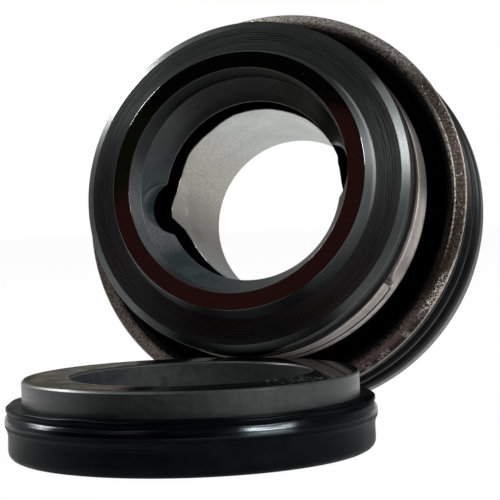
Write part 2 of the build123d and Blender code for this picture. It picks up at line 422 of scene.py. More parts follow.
def build_bellows(material):
    fold = (
        (VALLEY_RADIUS, VALLEY_HEIGHT, VALLEY_BEND),
        (BULGE_RADIUS, BULGE_HIGH, BULGE_BEND),
        (BULGE_RADIUS, BULGE_LOW, BULGE_BEND),
    )
    corners = [
        (THROAT_RADIUS, THROAT_HEIGHT),
        (LIP_RADIUS, LIP_HEIGHT, LIP_EDGE / 2),
        (LIP_RADIUS + LIP_EDGE, LIP_HEIGHT - LIP_EDGE, LIP_EDGE / 3),
        (LINER_INNER, LIP_BACK, LIP_EDGE),
        (LINER_INNER, COLLAR_BACK),
        (COLLAR_RADIUS - BELLOWS_WALL, COLLAR_BACK, LIP_EDGE),
        *((radius - BELLOWS_WALL, height, bend) for radius, height, bend in fold),
        (VALLEY_RADIUS - BELLOWS_WALL, GUIDE_BACK, BULGE_BEND / 3),
        (FLANGE_BORE, GUIDE_BACK),
        (FLANGE_BORE, CUP_FLOOR),
        (FLANGE_RADIUS, CUP_FLOOR, BULGE_BEND / 3),
        (FLANGE_RADIUS - FLANGE_EDGE, GUIDE_BACK, BULGE_BEND / 2),
        *reversed(fold),
        (COLLAR_RADIUS, COLLAR_BACK, BULGE_BEND),
        (COLLAR_RADIUS, COLLAR_LIP_LOW, COLLAR_LIP_CORNER),
        (COLLAR_LIP_RADIUS, COLLAR_LIP_LOW, COLLAR_LIP_CORNER),
        (COLLAR_LIP_RADIUS, COLLAR_LIP_HIGH, COLLAR_LIP_CORNER),
        (SHANK_RADIUS, COLLAR_LIP_HIGH),
        (SHANK_RADIUS, SHANK_BACK),
        (LINER_RADIUS, SHANK_BACK),
        (LINER_RADIUS, THROAT_BACK),
    ]
    scoop = NOTCH_REACH - NOTCH_RADIUS

    def notch(angle, radius, height):
        """Round scoops through the lip, each a piece of an upright cylinder."""
        on_lip = height > LIP_BACK - NOTCH_MARGIN
        for centre in DRIVE_ANGLES:
            gap = angle_gap(angle, centre)
            room = NOTCH_RADIUS**2 - (scoop * np.sin(gap)) ** 2
            reach = scoop * np.cos(gap) + np.sqrt(np.maximum(room, 0))
            cut = on_lip & (np.abs(gap) < math.pi / 2) & (room > 0) & (radius < reach)
            radius = np.where(cut, reach, radius)
        return radius, height

    skinned = lathe(corners, notch, LIP_BACK)
    piece = finish_mesh("bellows_rubber", *skinned, HEAD, None, "bellows_rubber", "bellows", material)
    blend_along(piece)


def blend_along(piece):
    """Bakes the piece's placing into its mesh."""
    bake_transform(piece)


def build_clamp_band(material):
    """Ribbon with a rounded rectangular section, from the strip's end round to the tongue's tip."""
    step = 360 / TURN_STEPS
    rounded = BAND_SHOULDER + FINE_TURN
    before_root = TONGUE_ROOT - ROOT_STEP
    before_tip = TONGUE_TIP - TIP_TURN
    stretches = (
        np.arange(STRIP_END, BAND_SHOULDER, step),
        np.arange(BAND_SHOULDER, rounded, FINE_STEP),
        np.arange(rounded, before_root, step),
        (before_root,),
        np.arange(TONGUE_ROOT, before_tip, step),
        np.linspace(before_tip, TONGUE_TIP, TIP_STEPS),
    )
    stations = np.concatenate(stretches)
    slant = BAND_SLANT * np.cos(np.radians(stations - BAND_SLANT_ANGLE))
    low = np.where(stations < TONGUE_ROOT, BAND_LOW - slant, TONGUE_LOW)
    low = low + TIP_RISE * smooth_step(stations - TONGUE_TIP, *TIP_RISE_TURNS)
    rounding = np.clip((stations - BAND_SHOULDER) / SHOULDER_TURN, 0, 1)
    shoulder_high = STRIP_HIGH + (BAND_HIGH + slant - STRIP_HIGH) * np.sqrt(1 - (1 - rounding) ** 2)
    tongue_high = TONGUE_HIGH - TONGUE_DROOP * smooth_step(TONGUE_TIP - stations, *DROOP_TURNS)
    high = np.where(stations < TONGUE_ROOT, shoulder_high, tongue_high)
    high = high + BURR_HEIGHT * np.exp(-(((stations - BURR_ANGLE) / BURR_TURN) ** 2))
    square = [(across, upward, BAND_CORNER) for across, upward in ((0, 0), (1, 0), (1, 1), (0, 1))]
    section, near = outline(square)
    sides, count = len(section), len(stations)
    across, upward = np.tile(section.T, count)
    low, high = np.repeat((low, high), sides, axis=1)
    radius = COLLAR_RADIUS + across * (BAND_RADIUS - COLLAR_RADIUS)
    local = turned(np.repeat(np.radians(stations), sides), radius, low + upward * (high - low))
    finish_mesh(
        "band_strip", local, skin(sides, count), np.tile(near, count), HEAD,
        "face_group", "band_metal", "clamp_band", material,
    )


def build_case(material):
    slope = math.atan2(FLARE_START_HEIGHT - FLARE_HEIGHT, FLARE_RADIUS - FLARE_START_RADIUS)
    under_radius = METAL * math.sin(slope)
    under_height = METAL * math.cos(slope)
    top = FLARE_START_HEIGHT + (FLARE_START_RADIUS - CASE_INNER) * math.tan(slope)
    under_top = FLARE_HEIGHT - under_height + (FLARE_RADIUS - under_radius - CASE_OUTER) * math.tan(slope)
    corners = [
        (SLEEVE_OUTER, CASE_FLOOR),
        (CASE_OUTER, CASE_FLOOR, CUP_CORNER + METAL),
        (CASE_OUTER, under_top, FLARE_BEND_OUTSIDE),
        (FLARE_RADIUS - under_radius, FLARE_HEIGHT - under_height),
        (FLARE_RADIUS, FLARE_HEIGHT),
        (CASE_INNER, top, FLARE_BEND_INSIDE),
        (CASE_INNER, CUP_FLOOR, CUP_CORNER),
        (SLEEVE_OUTER, CUP_FLOOR),
    ]
    finish_mesh("drawn_case", *lathe(corners), HEAD, "root", "case_metal", "case", material)


def build_jacket(material):
    corners = [
        (CASE_OUTER, CASE_FLOOR, CUP_CORNER + METAL),
        (CASE_OUTER - JACKET_FOOT, CASE_FLOOR),
        (CASE_OUTER - JACKET_FOOT, 0, RIB_CORNER / 2),
        (RIB_RADIUS, 0, RIB_CORNER),
        (RIB_RADIUS, REAR_RIB_TOP, RIB_CORNER),
        (GROOVE_RADIUS, REAR_RIB_TOP + REAR_RIB_SLOPE, RIB_CORNER / 2),
    ]
    for height in RIB_HEIGHTS:
        low, high = height - RIB_HALF, height + RIB_HALF
        corners += [(GROOVE_RADIUS, low), (RIB_RADIUS, height, RIB_TIP), (GROOVE_RADIUS, high)]
    corners += [(GROOVE_RADIUS, JACKET_TOP), (CASE_OUTER, JACKET_TOP)]
    finish_mesh("ribbed_jacket", *lathe(corners), HEAD, "root", "jacket_rubber", "case_jacket", material)


def build_sleeve(material):
    corners = [
        (SLEEVE_INNER, 0, SLEEVE_CORNER),
        (SLEEVE_FLANGE, 0, SLEEVE_CORNER / 2),
        (SLEEVE_FLANGE, CASE_FLOOR),
        (SLEEVE_OUTER, CASE_FLOOR),
        (SLEEVE_OUTER, SLEEVE_FRONT, SLEEVE_EDGE_CORNER),
        (SLEEVE_INNER, SLEEVE_FRONT, SLEEVE_EDGE_CORNER),
    ]
    places, rises = zip(*SLEEVE_EDGE)

    def front(angle, radius, height):
        """The front edge is rough, and the wall below it is stretched to follow it."""
        rise = np.interp(np.degrees(angle), places, rises, period=360)
        rise = rise + noise_wave(angle, *SLEEVE_EDGE_WAVE)
        top = SLEEVE_FRONT - SLEEVE_EDGE_CORNER
        return radius, height + rise * smooth_step(height, SLEEVE_FRONT - SLEEVE_EDGE_DEPTH, top)

    rough = lathe(corners, front)
    finish_mesh("brushed_sleeve", *rough, HEAD, "root", "sleeve_metal", "inner_sleeve", material)


def build_guide(name, body, node, seat, spring, end, material):
    """Flat ring on the rubber with a short wall inside the spring, at one end of the spring.

    Its three heights are where it sits, where the spring meets it and where its wall ends."""
    wall = GUIDE_INNER + GUIDE_WALL
    corners = [
        (GUIDE_INNER, seat, GUIDE_CORNER),
        (GUIDE_OUTER, seat),
        (GUIDE_OUTER, spring),
        (wall, spring),
        (wall, end),
        (GUIDE_INNER, end),
    ]
    if seat > end:
        corners.reverse()
    finish_mesh(name, *lathe(corners), HEAD, body, "guide_metal", node, material)


def build_spring(material):
    """Round wire wound into a helix, with its ends pressed flat where the two rings hold it."""
    low = GUIDE_FRONT + SPRING_CLEARANCE
    high = RETAINER_BACK - SPRING_CLEARANCE
    share = np.repeat(np.linspace(0, 1, SPRING_STEPS + 1), WIRE_SIDES)
    turn = np.tile(np.arange(WIRE_SIDES) / WIRE_SIDES * math.tau, SPRING_STEPS + 1)
    centre = low + WIRE / 4 + share * (high - low - WIRE / 2)
    radius = SPRING_RADIUS + WIRE / 2 * np.cos(turn)
    height = np.clip(centre + WIRE / 2 * np.sin(turn), low, high)
    local = turned(share * SPRING_TURNS * math.tau, radius, height)
    faces = skin(WIRE_SIDES, SPRING_STEPS + 1)
    edge = np.zeros(len(local))
    piece = finish_mesh("wire_spring", local, faces, edge, HEAD, None, "spring_wire", "coil_spring", material)
    blend_along(piece)


# ---- Finishes
NOISE_LOW = 0.3
NOISE_HIGH = 0.7
BLOT_GRAIN = 1.6
BLOT_RAGGED = 0.6
BLOT_SOLID = 0.4


class Nodes:
    """Node tree of a material or of the world, with short calls that add nodes to it."""

    def __init__(self, block):
        block.use_nodes = True
        self.tree = block.node_tree

    def node(self, kind, inputs=None, **settings):
        """New shader node, with its inputs fed and its settings made."""
        made = self.tree.nodes.new("ShaderNode" + kind)
        for key, value in settings.items():
            setattr(made, key, value)
        for key, value in (inputs or {}).items():
            self.feed(made.inputs[key], value)
        return made

    def feed(self, socket, value):
        """Links a socket to another one or sets its value. A colour is three numbers, or one for a grey."""
        if isinstance(value, bpy.types.NodeSocket):
            self.tree.links.new(value, socket)
        elif socket.type == "RGBA":
            colour = value if isinstance(value, tuple) else (value, value, value)
            socket.default_value = (*colour, 1)
        else:
            socket.default_value = value

    def math(self, operation, a, b=0):
        return self.node("Math", {0: a, 1: b}, operation=operation).outputs[0]

    def fold(self, operation, values):
        """One value made of several, brought together in turn."""
        total = values[0]
        for value in values[1:]:
            total = self.math(operation, total, value)
        return total

    def times(self, *values):
        return self.fold("MULTIPLY", values)

    def either(self, *values):
        return self.fold("MAXIMUM", values)

    def minus(self, a, b):
        return self.math("SUBTRACT", a, b)

    def span(self, value, low, high, to_low=0, to_high=1):
        """Value moved smoothly from one span to another."""
        inputs = {0: value, 1: low, 2: high, 3: to_low, 4: to_high}
        return self.node("MapRange", inputs, interpolation_type="SMOOTHSTEP").outputs[0]

    def mix(self, share, a, b):
        """Colour going from one to another."""
        return self.node("Mix", {0: share, 6: a, 7: b}, data_type="RGBA").outputs[2]


class Finish(Nodes):
    """Material of a piece. Angles, radii and heights are measured in the unit that the piece is in.

    up is the direction, in the shared frame, that the unit's angles are counted towards."""

    def __init__(self, name, up=HEAD_UP):
        self.material = bpy.data.materials.new(name)
        super().__init__(self.material)
        self.shader = self.tree.nodes["Principled BSDF"]
        self.spot = self.node("Attribute", attribute_name="spot").outputs["Vector"]
        self.edge = self.node("Attribute", attribute_name="edge").outputs["Fac"]
        across, upward, self.height = self.node("SeparateXYZ", {0: self.spot}).outputs
        self.radius = self.length(self.vector(across, upward, 0))
        self.angle = self.math("ARCTAN2", upward, across)
        self.outward = self.vector(across, self.times(upward, up.y), self.times(upward, up.z))

    def paint(self, colour, *shares):
        """Lays a colour over the base colour, as far as the product of the shares."""
        self.base = self.mix(self.times(*shares), self.base, colour)

    def done(self, **inputs):
        """Sets the shader's inputs, given by their names in lower case, and returns the material."""
        inputs["base_color"] = self.base
        for key, value in inputs.items():
            self.feed(self.shader.inputs[key.replace("_", " ").title().replace("Ior", "IOR")], value)
        return self.material

    def band(self, value, low, high, soft):
        """1 between two values, falling to 0 outside them."""
        rise = self.span(value, low - soft, low + soft)
        return self.times(rise, self.span(value, high + soft, high - soft))

    def around(self, centre, half, soft):
        """1 within some degrees of a direction round the axis, falling to 0 outside."""
        cosine = self.math("COSINE", self.minus(self.angle, math.radians(centre)))
        outer, inner = (math.cos(math.radians(a)) for a in (half + soft, max(0, half - soft)))
        return self.span(cosine, outer, inner)

    def vector(self, x, y, z):
        return self.node("CombineXYZ", {0: x, 1: y, 2: z}).outputs[0]

    def join(self, operation, a, b):
        """Two vectors added, subtracted or multiplied."""
        return self.node("VectorMath", {0: a, 1: b}, operation=operation).outputs[0]

    def length(self, vector):
        return self.node("VectorMath", {0: vector}, operation="LENGTH").outputs["Value"]

    def noise(self, scale, detail=3, roughness=0.5, distortion=0, place=None):
        shape = {"Detail": detail, "Roughness": roughness, "Distortion": distortion}
        return self.node("TexNoise", {"Vector": place or self.spot, "Scale": scale, **shape}).outputs[0]

    def wound(self, across, turn_scale, scale, size=1, detail=4, roughness=0.6, distortion=0):
        """Noise laid round the axis, with one scale for the angle and one across it."""
        place = self.vector(self.times(self.angle, turn_scale), self.times(across, scale), 0)
        return self.noise(size, detail, roughness, distortion, place)

    def vein(self, noise, wide, narrow):
        """Thin winding lines, where a noise is near its middle."""
        return self.span(self.math("ABSOLUTE", self.minus(noise, 0.5)), wide, narrow)

    def vary(self, noise, low=0, high=1):
        """Number that follows a noise over its usual spread."""
        return self.span(noise, NOISE_LOW, NOISE_HIGH, low, high)

    def rings(self, scale, wander):
        """Fine turning marks: noise that runs almost unchanged round the axis."""
        drift = self.join("MULTIPLY", self.spot, (wander, wander, wander))
        track = self.vector(self.times(self.radius, scale), self.times(self.height, scale), 0)
        return self.noise(1, 4, 0.6, place=self.join("ADD", track, drift))

    def blot(self, angle, radius, height, size, stretch=(1, 1, 1)):
        """Ragged mark round a place on the piece, narrower where it's stretched by more than 1."""
        turn = math.radians(angle)
        place = (radius * math.cos(turn), radius * math.sin(turn), height)
        gap = self.length(self.join("MULTIPLY", self.join("SUBTRACT", self.spot, place), stretch))
        reach = BLOT_RAGGED * size
        ragged = self.span(self.noise(BLOT_GRAIN / size), 0.2, 0.8, -reach, reach)
        return self.span(self.math("ADD", gap, ragged), size, BLOT_SOLID * size)

    def choose(self, share, a, b):
        """Number going from one value to another."""
        return self.node("Mix", {0: share, 2: a, 3: b}, data_type="FLOAT").outputs[0]

    def bump(self, height, strength, depth, normal=None):
        """Relief with a depth in millimetres, laid over another one where a normal is given."""
        inputs = {"Height": height, "Strength": strength, "Distance": depth * MM}
        if normal:
            inputs["Normal"] = normal
        return self.node("Bump", inputs).outputs[0]


def carbon_finish():
    """Black carbon: a lapped, mirror-like nose; the rest turned, with fine marks round the axis."""
    f = Finish("face_carbon_lapped")
    land = f.span(f.height, HEAD_LENGTH - 0.05, HEAD_LENGTH - 0.02)
    land = f.times(land, f.band(f.radius, NOSE_INNER - 0.05, NOSE_OUTER + 0.02, 0.03))
    recess = f.span(f.height, FACE_HEIGHT + 0.35, FACE_HEIGHT + 0.2)
    recess = f.times(f.band(f.radius, NOSE_FOOT, FACE_OUTER, 0.04), recess)
    chamfer = f.span(f.height, RIM_HEIGHT - 0.2, RIM_HEIGHT - 0.05)
    chamfer = f.times(f.span(f.radius, FACE_OUTER - 0.02, FACE_OUTER + 0.04), chamfer)
    slope = f.span(f.height, HEAD_LENGTH, HEAD_LENGTH - 0.1)
    slope = f.times(f.band(f.radius, NOSE_OUTER - 0.03, NOSE_FOOT + 0.05, 0.03), slope)
    throat = f.span(f.radius, NOSE_INNER + 0.01, NOSE_INNER - 0.05)
    streak = f.rings(5, 0.03)
    fine = f.rings(18, 0.06)
    cloud = f.noise(0.35, 4)
    grit = f.noise(7, 3, 0.6)
    broken = f.wound(f.radius, 1.6, 2.2, roughness=0.7)
    wave = f.math("SINE", f.math("ADD", f.times(f.radius, 23), f.times(cloud, 3)))
    worked = f.either(f.band(f.radius, 15.95, 17.3, 0.12), 0.4)
    rim = f.span(f.height, RIM_HEIGHT - 0.1, RIM_HEIGHT - 0.25)
    outer = f.times(rim, f.span(f.radius, RIM_RADIUS - 0.05, RIM_RADIUS))
    cut = f.times(recess, worked, f.span(wave, 0.25, 0.75), f.span(broken, 0.4, 0.52))
    f.base = f.mix(fine, (0.0006, 0.001, 0.0011), (0.0022, 0.003, 0.0032))
    f.paint(0.0004, land)
    # Painted light: the upper part of the recess is painted lighter.
    painted_upper_light = f.times(recess, f.around(95, 70, 40), f.span(streak, 0.62, 0.42, 0.3, 1))
    f.paint((0.007, 0.011, 0.011), painted_upper_light, 0.8)
    f.paint((0.0006, 0.0008, 0.0008), cut)
    scuff = f.times(recess, f.around(141, 6, 5), f.span(f.radius, 16.2, 15.6), f.span(fine, 0.45, 0.58))
    f.paint((0.075, 0.072, 0.056), scuff, 0.8)
    # Painted reflection: the throat is painted lighter on its lower left.
    painted_reflection = f.times(throat, f.around(197, 22, 16), f.span(cloud, 0.3, 0.6, 0.6, 1))
    f.paint((0.05, 0.056, 0.056), painted_reflection)
    dust = f.times(f.span(grit, 0.7, 0.75), f.span(cloud, 0.4, 0.58))
    f.paint((0.16, 0.16, 0.15), dust, 0.7)
    # Painted highlight along the foot of the nose on the right.
    painted_foot_highlight = f.times(f.band(f.radius, NOSE_FOOT - 0.15, NOSE_FOOT + 0.06, 0.1), f.around(16, 10, 26))
    f.paint((0.12, 0.12, 0.118), painted_foot_highlight)
    glint = f.times(chamfer, f.around(27, 5, 7))
    f.paint((0.065, 0.068, 0.07), glint)
    rough = f.choose(slope, f.choose(chamfer, f.vary(fine, 0.36, 0.48), 0.38), 0.48)
    dimmed = f.either(f.around(82, 14, 8), f.around(243, 8, 8))
    level = f.choose(f.times(slope, f.around(275, 52, 15)), 0.85, 0.4)
    level = f.choose(chamfer, level, f.choose(dimmed, 0.75, 0.32))
    level = f.choose(f.times(recess, f.around(262, 34, 14)), level, f.times(level, 0.45))
    level = f.choose(f.either(cut, f.times(outer, 0.9)), level, 0.12)
    shadowed = f.choose(f.around(85, 58, 14), 0.22, f.span(f.height, 20.7, 22.2, 0.02, 0.11))
    level = f.choose(throat, level, shadowed)
    level = f.times(level, f.span(grit, 0.3, 0.6, 1.12, 0.86))
    groove = f.bump(f.math("ADD", streak, f.times(fine, 0.4)), f.choose(land, 0.45, 0), 0.06)
    return f.done(
        roughness=f.choose(land, rough, 0.05),
        ior=1.65,
        specular_ior_level=level,
        specular_tint=(0.94, 1, 1),
        anisotropic=f.choose(land, f.choose(slope, 0.55, 0.8), 0),
        tangent=f.outward,
        normal=f.bump(grit, f.choose(land, 0.12, 0.01), 0.02, groove),
    )


def lip_finish():
    """Moulded rubber, matt and faintly blue-green, with painted light above, painted black shade towards the
    sleeve and painted reflections at the sides.
    """
    f = Finish("bellows_rubber_matt")
    cloud = f.noise(0.45, 5, 0.6)
    grain = f.noise(5, 4, 0.65)
    clot = f.noise(1.7, 3, 0.7, 0.4)
    # Painted shade: the lip is painted near black towards its inner edge, and in a nook by the sleeve's
    # tongue.
    inner = f.either(f.times(f.around(108, 45, 25), 0.45), f.around(40, 14, 10))
    inner = f.times(f.span(f.radius, 11.1, 10.6), inner)
    painted_shade_nook = f.around(33, 11, 8)
    sheen = f.times(f.around(326, 24, 14), f.span(f.radius, 11.5, 10.8))
    # Painted shade: the lip's underside, the collar and the outer folds are painted near black.
    painted_shade_under = f.span(f.height, LIP_HEIGHT - 0.05, LIP_HEIGHT - 0.3)
    painted_shade_collar = f.span(f.radius, 16, 17)
    f.base = f.mix(f.span(cloud, 0.35, 0.7), (0.009, 0.016, 0.018), (0.018, 0.029, 0.031))
    # Painted light: the upper side of the lip is painted lighter.
    grey = f.around(100, 55, 35)
    f.paint((0.032, 0.033, 0.032), grey)
    dirt = f.times(f.around(98, 32, 12), f.span(clot, 0.56, 0.64), f.band(f.radius, 11, 11.9, 0.15))
    f.paint(0.004, dirt, 0.85)
    # Painted shade: the lip's upper right side is painted darker.
    black = f.around(42, 24, 12)
    f.paint((0.003, 0.004, 0.004), black, 0.75)
    # Painted reflections: the lip is painted lighter on its lower left and lower right.
    painted_reflection = f.either(f.around(206, 9, 8), f.times(f.around(322, 30, 12), 0.8))
    f.paint((0.075, 0.08, 0.082), painted_reflection, f.span(grain, 0.35, 0.6, 0.4, 0.85))
    cracks = f.vein(f.wound(f.radius, 5, 1, 1.3, 3, distortion=0.8), 0.022, 0.006)
    f.paint((0.012, 0.016, 0.018), cracks, f.around(200, 40, 20), 0.7)
    f.paint((0.17, 0.165, 0.16), sheen, 0.8)
    f.paint((0.002, 0.0025, 0.0025), f.either(inner, painted_shade_nook))
    f.paint(0.0007, f.either(painted_shade_under, painted_shade_collar))
    level = f.choose(painted_shade_nook, f.choose(inner, 0.55, 0.28), 0.02)
    return f.done(
        roughness=f.vary(grain, 0.26, 0.4),
        specular_ior_level=f.choose(painted_shade_collar, f.choose(painted_shade_under, level, 0.01), 0.08),
        normal=f.bump(cloud, 0.5, 0.12, f.bump(grain, 0.25, 0.03)),
    )


def boot_finish():
    """Deep black moulded rubber: a bead with a sheen that changes round it, and a dull wall."""
    f = Finish("boot_rubber_gloss", SEAT_UP)
    bead = f.band(f.height, BOOT_BEAD_HEIGHT - 0.24, BOOT_BEAD_HEIGHT + 0.6, 0.14)
    wet = f.around(313, 5, 5)
    dull = f.either(f.around(258, 12, 6), f.around(341, 16, 6), f.times(f.around(225, 8, 6), 0.8))
    above = f.span(f.height, BOOT_BEAD_HEIGHT + 0.1, BOOT_GROOVE_HEIGHT - 0.1)
    dark = f.times(f.around(355, 12, 8), above)
    ledge = f.span(f.height, BOOT_LIP_EDGE + 0.1, BOOT_LIP_EDGE + 0.4)
    cloud = f.noise(0.5, 5, 0.6)
    grain = f.noise(6, 4, 0.6)
    f.base = f.mix(f.span(cloud, 0.35, 0.75), (0.0006, 0.0016, 0.0025), (0.002, 0.0034, 0.0045))
    f.paint((0.0003, 0.0006, 0.001), f.span(f.height, BOOT_WALL_TOP, BOOT_BEAD_HEIGHT))
    torn = f.times(f.around(344, 16, 8), ledge, f.span(cloud, 0.52, 0.6))
    f.paint(0.0003, torn)
    wall = f.choose(dark, f.choose(ledge, 0.045, 0.03), 0.004)
    shine = f.choose(wet, f.choose(dull, 0.2, 0.07), 1)
    return f.done(
        roughness=f.choose(bead, f.vary(cloud, 0.3, 0.42), f.choose(wet, 0.22, 0.3)),
        specular_ior_level=f.choose(bead, wall, shine),
        specular_tint=(0.86, 1, 1.06),
        normal=f.bump(cloud, 0.3, 0.1, f.bump(grain, 0.12, 0.02)),
    )


def jacket_finish():
    """Satin rubber on the case; the tips of the ribs are painted a little grey, as wear and as a painted
    highlight.
    """
    f = Finish("jacket_rubber_satin")
    cloud = f.noise(0.6, 4, 0.6)
    grain = f.noise(6, 4, 0.6)
    # Rib tips painted lighter: partly wear, partly painted highlight.
    tips = f.span(f.radius, RIB_RADIUS - 0.35, RIB_RADIUS - 0.02)
    f.base = f.mix(f.span(cloud, 0.35, 0.75), (0.0012, 0.0014, 0.0015), 0.004)
    f.paint((0.02, 0.018, 0.017), tips, 0.4)
    level = f.choose(f.around(8, 32, 16), 0.5, 0.14)
    return f.done(
        roughness=f.vary(grain, 0.28, 0.42),
        specular_ior_level=f.choose(f.span(f.radius, RIB_RADIUS - 0.55, RIB_RADIUS - 0.1), 0.06, level),
        normal=f.bump(grain, 0.2, 0.03),
    )


def seat_finish():
    """Fine-grained black seat: lapped on top, ground and stained on its sides, worn at the edges, with a
    painted highlight along the left edges.
    """
    f = Finish("seat_ring_lapped", SEAT_UP)
    top = f.span(f.height, SEAT_HEIGHT - 0.06, SEAT_HEIGHT - 0.02)
    cloud = f.noise(0.5, 4)
    grit = f.noise(9, 3)
    mottle = f.noise(1.8, 5, 0.7)
    rub = f.rings(7, 0.1)
    f.base = f.mix(f.vary(mottle), (0.01, 0.013, 0.0135), (0.024, 0.027, 0.0255))
    f.paint((0.01, 0.0125, 0.013), f.span(cloud, 0.45, 0.65, 0, 0.5))
    f.paint((0.0025, 0.003, 0.003), top)
    oiled = f.times(top, f.around(38, 62, 10))
    # Edges on the left painted lighter: wear, and a painted highlight along the lit edge.
    worn_and_lit_edge = f.times(f.span(f.edge, 0.85, 1), f.around(215, 60, 30))
    f.paint((0.16, 0.16, 0.15), worn_and_lit_edge, 0.5)
    stain = f.blot(213, SEAT_RADIUS, 5.25, 0.9, (1, 1, 2.2))
    stain = f.either(stain, f.times(f.blot(198, 12.6, SEAT_HEIGHT, 1.6), 0.4))
    f.paint((0.06, 0.026, 0.01), stain, 0.8)
    # Darker patches on the bore's back wall and on the top by the bore.
    dark_patches = f.blot(125, SEAT_BORE, 5.4, 0.7, (1, 1, 0.6))
    dark_patches = f.either(dark_patches, f.blot(264, 13.4, SEAT_HEIGHT, 1, (0.6, 1.3, 1)))
    f.paint(0.004, dark_patches, 0.75)
    flecks = f.times(f.around(334, 13, 6), f.span(f.noise(2.6, 2), 0.64, 0.7), top)
    f.paint(0.42, flecks)
    rough = f.choose(top, f.vary(rub, 0.3, 0.42), f.vary(cloud, 0.07, 0.13))
    worn = f.choose(f.span(f.radius, 15, 15.9), 0.38, f.choose(f.around(305, 38, 10), 0.05, 0.004))
    return f.done(
        roughness=f.choose(oiled, rough, 0.05),
        specular_ior_level=f.choose(oiled, f.choose(top, 0.42, worn), 0.004),
        normal=f.bump(grit, f.choose(top, 0.15, 0.01), 0.02),
    )


def sleeve_finish():
    """Drawn sleeve: faint lengthwise scratches, small pits, and a warm tarnish on one side."""
    f = Finish("sleeve_metal_brushed")
    cloud = f.noise(0.3, 4, 0.55)
    grain = f.noise(4, 4, 0.6)
    scratch = f.wound(f.height, 40, 0.6)
    f.base = f.mix(f.span(cloud, 0.35, 0.7), (0.39, 0.405, 0.4), (0.48, 0.49, 0.48))
    shade = f.times(f.span(f.height, 11.5, 5), f.around(95, 55, 20))
    f.paint((0.27, 0.285, 0.28), shade, 0.35)
    tarnish = f.around(175, 30, 28)
    f.paint((0.305, 0.285, 0.25), tarnish, 0.9)
    rubbed = f.times(f.around(180, 9, 8), f.span(f.height, 10.8, 12.3))
    f.paint((0.44, 0.42, 0.38), rubbed, 0.7)
    pits = f.noise(5.5, 3, 0.65)
    dark_pits = f.times(f.span(pits, 0.52, 0.62), f.around(165, 55, 25))
    bright_pits = f.times(f.span(pits, 0.46, 0.36), f.around(135, 45, 20))
    f.paint((0.17, 0.155, 0.135), dark_pits, 0.5)
    f.paint((0.62, 0.62, 0.56), bright_pits, 0.4)
    f.paint((0.3, 0.29, 0.28), f.span(scratch, 0.45, 0.75, 0, 0.25))
    # Painted shade: above a height, all but the sleeve's inner wall, meaning its front end and outside, is
    # painted near black.
    painted_shade_front = f.times(f.span(f.radius, SLEEVE_INNER + 0.04, SLEEVE_INNER + 0.12), f.span(f.height, 9, 11))
    f.paint(0.008, painted_shade_front)
    stain = f.blot(199, SLEEVE_INNER, 9.2, 1.6, (1, 1, 0.7))
    f.paint((0.19, 0.17, 0.12), stain, 0.6)
    gleam = f.blot(185, SLEEVE_INNER, 11.4, 0.8)
    f.paint((0.5, 0.47, 0.42), gleam, 0.7)
    relief = f.bump(cloud, 0.35, 0.15, f.bump(grain, 0.12, 0.03))
    return f.done(metallic=1, roughness=f.vary(grain, 0.3, 0.42), normal=relief)


def band_finish():
    """Rolled band: matt, a little pink, scratched along its length."""
    f = Finish("band_metal_matt")
    cloud = f.noise(0.8, 5, 0.6)
    scratch = f.wound(f.height, 9, 12)
    f.base = f.mix(f.vary(cloud), (0.2, 0.18, 0.175), (0.32, 0.29, 0.28))
    f.paint((0.13, 0.115, 0.11), f.span(scratch, 0.5, 0.75, 0, 0.5))
    f.paint((0.46, 0.43, 0.42), f.span(f.edge, 0.5, 1), 0.4)
    lit = f.either(f.times(f.around(346, 8, 9), 0.85), f.around(313, 16, 8))
    f.paint((0.76, 0.7, 0.67), lit, f.span(f.height, 15.6, 13.4, 0.45, 1))
    blotch = f.times(f.span(cloud, 0.5, 0.62), f.around(335, 35, 10))
    f.paint((0.16, 0.14, 0.13), blotch, 0.35)
    shaded = (f.around(36, 10, 9), f.times(f.around(271, 12, 8), 0.9), f.times(f.around(14, 12, 8), 0.35))
    f.paint((0.055, 0.046, 0.043), f.either(*shaded))
    # The seam is a dark joint; the band's back edge is painted shade.
    slot = (TONGUE_LOW + STRIP_HIGH) / 2
    seam = f.times(f.band(f.height, slot - 0.26, slot + 0.22, 0.05), f.around(289, 36, 1))
    f.paint((0.012, 0.01, 0.009), f.either(seam, f.span(f.height, BAND_LOW + 0.45, BAND_LOW)))
    relief = f.bump(scratch, 0.3, 0.03)
    return f.done(metallic=1, roughness=f.vary(scratch, 0.55, 0.7), normal=relief)


